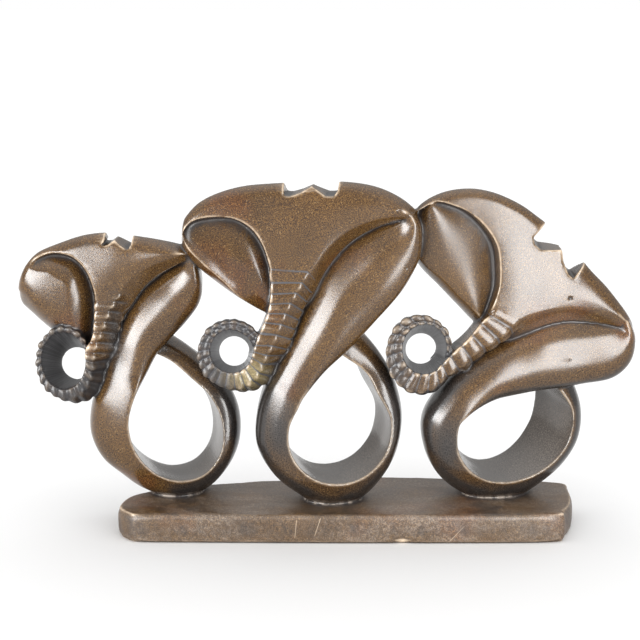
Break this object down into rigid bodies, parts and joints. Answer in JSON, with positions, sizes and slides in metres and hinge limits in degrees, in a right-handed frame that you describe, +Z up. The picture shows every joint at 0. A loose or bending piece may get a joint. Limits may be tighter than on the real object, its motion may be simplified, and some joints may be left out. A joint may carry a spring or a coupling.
{
  "type": "soapstone elephant group",
  "caption": "Stylised elephants side by side, each a broad head with swept ears, ringed curled trunk and looped body, carved with their base from one stone.",
  "frame": {"origin": "middle of the flat underside of the base", "axes": "+Z up, the carved faces look along -Y, +X to the right as seen from the front"},
  "size_m": [0.4004, 0.0857, 0.2327],
  "materials": {
    "soapstone": "polished dark brown soapstone with a fine golden speckle"
  },
  "bodies": {
    "root": {"elephant_group": "soapstone"}
  },
  "joints": []
}
